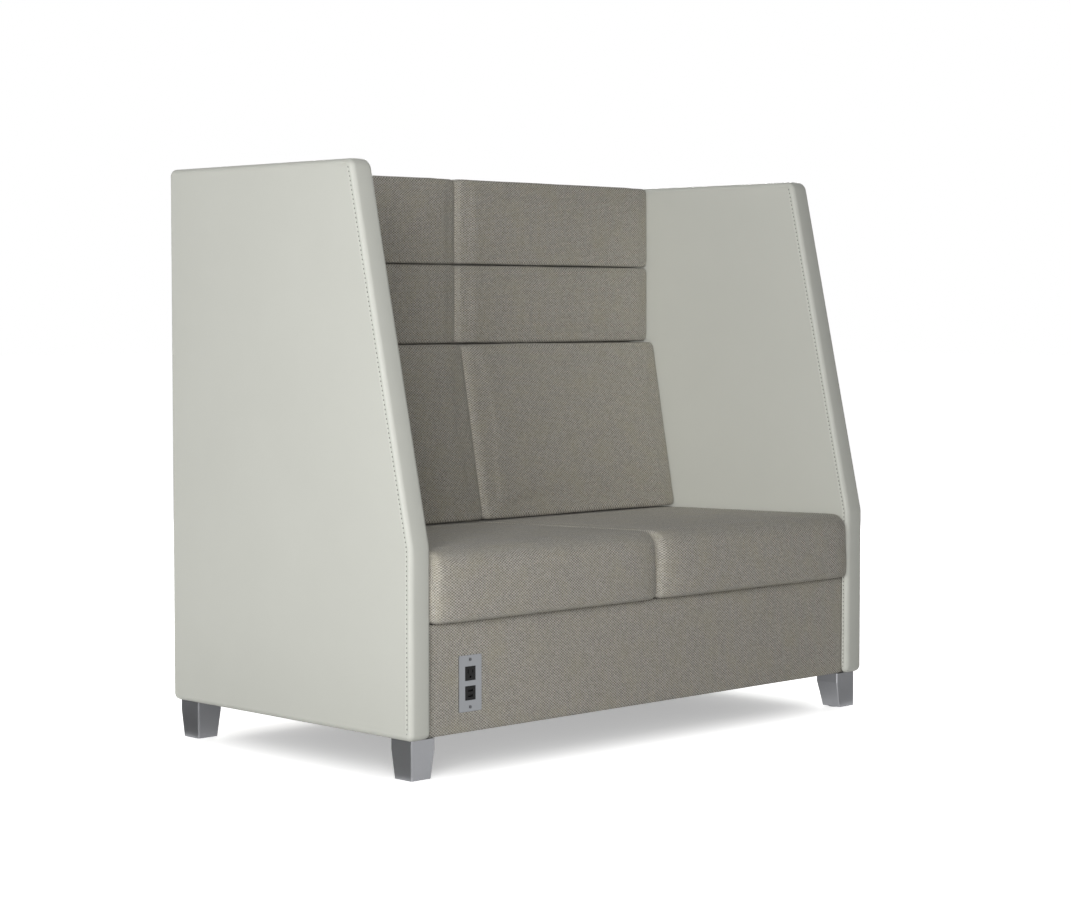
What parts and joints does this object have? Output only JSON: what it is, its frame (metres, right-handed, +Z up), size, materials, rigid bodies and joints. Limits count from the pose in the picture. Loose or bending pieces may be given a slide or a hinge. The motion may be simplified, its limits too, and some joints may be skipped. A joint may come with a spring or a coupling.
{
  "type": "privacy booth sofa",
  "caption": "High-backed booth sofa with tall side wings, loose seat cushions, stacked back cushions, a fabric apron with a power plate, and tapered metal legs.",
  "frame": {"origin": "on the floor at the middle of the sofa's box", "axes": "+Z up, +X to the right of someone facing the sofa, +Y from the seat front to the back"},
  "size_m": [1.422, 0.798, 1.241],
  "materials": {
    "wing_vinyl": "fine grained pale grey vinyl",
    "tweed": "taupe tweed weave",
    "foam": "open cell upholstery foam",
    "plywood": "sanded plywood",
    "black_cloth": "non-woven cloth",
    "hook_tape": "woven tape",
    "leg_metal": "satin silver grey",
    "glide_nylon": "moulded nylon",
    "plate_metal": "satin",
    "black_plastic": "moulded",
    "box_plastic": "moulded",
    "zinc_steel": "zinc plated"
  },
  "bodies": {
    "frame": {"back_cover": "wing_vinyl", "back_foam": "foam", "back_panel_board": "plywood", "cable_gland": "box_plastic", "centre_rail": "plywood", "corner_blocks": "plywood", "cushion_backers": "plywood", "cushion_bolts": "zinc_steel", "deck_cloth": "black_cloth", "dust_cover": "black_cloth", "frame_bolts": "zinc_steel", "front_apron": "tweed", "front_left_leg": "leg_metal", "front_rail": "plywood", "front_right_leg": "leg_metal", "hook_strips": "hook_tape", "left_lumbar_cushion_cover": "tweed", "left_lumbar_cushion_foam": "foam", "left_middle_cushion_cover": "tweed", "left_middle_cushion_foam": "foam", "left_side_rail": "plywood", "left_upper_cushion_cover": "tweed", "left_upper_cushion_foam": "foam", "left_wing_core": "plywood", "left_wing_cover": "wing_vinyl", "left_wing_foam": "foam", "leg_plate_screws": "zinc_steel", "leg_plates": "zinc_steel", "leg_studs": "zinc_steel", "power_box": "box_plastic", "power_charger": "black_plastic", "power_outlet": "black_plastic", "power_plate": "plate_metal", "power_screws": "plate_metal", "rear_left_leg": "leg_metal", "rear_rail": "plywood", "rear_right_leg": "leg_metal", "right_lumbar_cushion_cover": "tweed", "right_lumbar_cushion_foam": "foam", "right_middle_cushion_cover": "tweed", "right_middle_cushion_foam": "foam", "right_side_rail": "plywood", "right_upper_cushion_cover": "tweed", "right_upper_cushion_foam": "foam", "right_wing_core": "plywood", "right_wing_cover": "wing_vinyl", "right_wing_foam": "foam", "seat_springs": "zinc_steel", "spring_clips": "zinc_steel", "threaded_inserts": "zinc_steel"},
    "left_seat": {"left_seat_cover": "tweed", "left_seat_foam": "foam", "left_seat_zip": "hook_tape"},
    "right_seat": {"right_seat_cover": "tweed", "right_seat_foam": "foam", "right_seat_zip": "hook_tape"},
    "front_left_glide": {"front_left_glide": "glide_nylon"},
    "front_right_glide": {"front_right_glide": "glide_nylon"},
    "rear_left_glide": {"rear_left_glide": "glide_nylon"},
    "rear_right_glide": {"rear_right_glide": "glide_nylon"}
  },
  "joints": [
    {"name": "left_seat_pull", "type": "slide", "parent": "frame", "child": "left_seat", "axis": [0, -1, 0], "range_m": [0, 0.7]},
    {"name": "right_seat_pull", "type": "slide", "parent": "frame", "child": "right_seat", "axis": [0, -1, 0], "range_m": [0, 0.7]},
    {"name": "front_left_level", "type": "slide", "parent": "frame", "child": "front_left_glide", "axis": [0, 0, -1], "range_m": [0, 0.012]},
    {"name": "front_right_level", "type": "slide", "parent": "frame", "child": "front_right_glide", "axis": [0, 0, -1], "range_m": [0, 0.012]},
    {"name": "rear_left_level", "type": "slide", "parent": "frame", "child": "rear_left_glide", "axis": [0, 0, -1], "range_m": [0, 0.012]},
    {"name": "rear_right_level", "type": "slide", "parent": "frame", "child": "rear_right_glide", "axis": [0, 0, -1], "range_m": [0, 0.012]}
  ]
}
